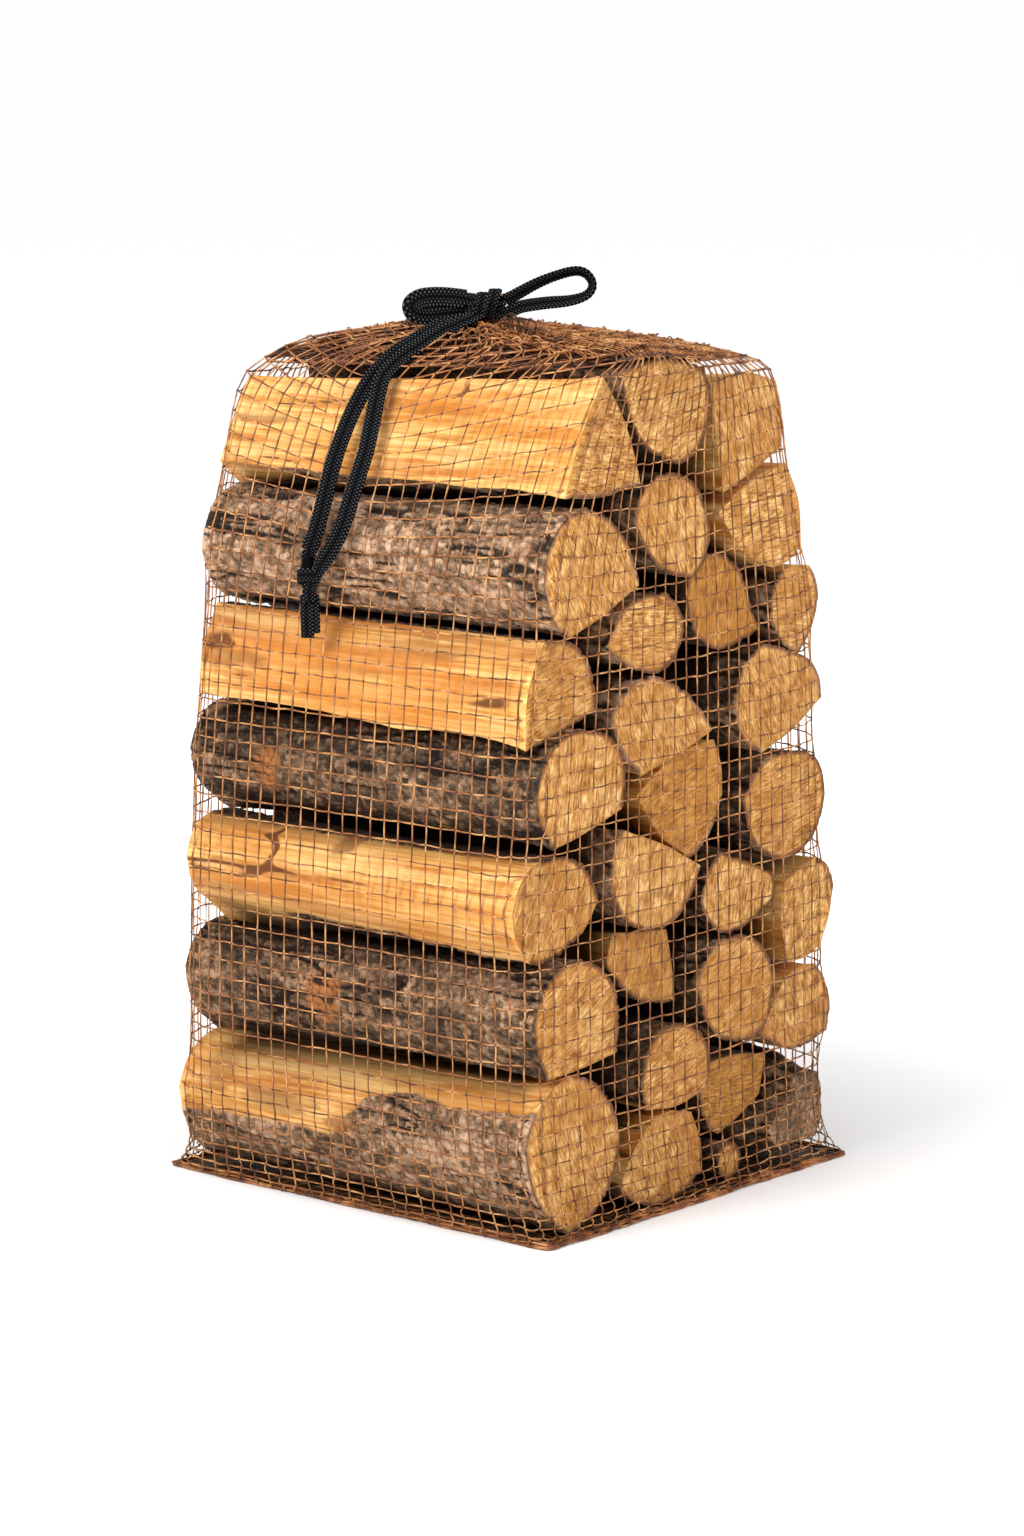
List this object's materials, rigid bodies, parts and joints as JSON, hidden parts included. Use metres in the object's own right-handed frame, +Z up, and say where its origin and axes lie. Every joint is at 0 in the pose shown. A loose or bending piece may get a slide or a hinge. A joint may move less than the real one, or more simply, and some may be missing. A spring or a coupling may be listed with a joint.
{
  "type": "firewood bundle",
  "caption": "Net bag of short split logs stacked lengthwise, closed at the top by a flat drawstring tied in a bow.",
  "frame": {"origin": "middle of the footprint, on the surface that the bag stands on, measured without the drawstring", "axes": "+Z up, X along the logs, +X towards the near sawn ends, Y across the stack with the long bark and split sides facing -Y"},
  "size_m": [0.284, 0.288, 0.5212],
  "materials": {
    "split_wood": "split and sawn dry wood, rough grain",
    "bark_wood": "scaly grey-brown bark with sawn golden ends",
    "net": "thin knotted orange-brown plastic net",
    "lace": "flat black braided polyester lace"
  },
  "bodies": {
    "root": {"front_log_1": "bark_wood", "front_log_2": "bark_wood", "front_log_3": "split_wood", "front_log_4": "bark_wood", "front_log_5": "split_wood", "front_log_6": "bark_wood", "front_log_7": "split_wood", "middle_log_1": "bark_wood", "middle_log_2": "bark_wood", "middle_log_3": "split_wood", "middle_log_4": "bark_wood", "middle_log_5": "split_wood", "middle_log_6": "bark_wood", "middle_log_7": "bark_wood", "middle_log_8": "split_wood", "middle_log_9": "bark_wood", "back_log_1": "bark_wood", "back_log_2": "split_wood", "back_log_3": "split_wood", "back_log_4": "bark_wood", "back_log_5": "split_wood", "back_log_6": "split_wood", "back_log_7": "bark_wood", "back_log_8": "bark_wood", "back_log_9": "split_wood", "back_log_10": "split_wood", "back_log_11": "split_wood", "back_log_12": "split_wood", "thin_branch": "bark_wood", "net_bag": "net", "drawstring_band": "lace", "bow_knot": "lace", "bow_loop_left": "lace", "bow_loop_right": "lace", "tail_left": "lace", "tail_right": "lace", "tail_knot": "lace", "tail_ends": "lace"}
  },
  "joints": []
}
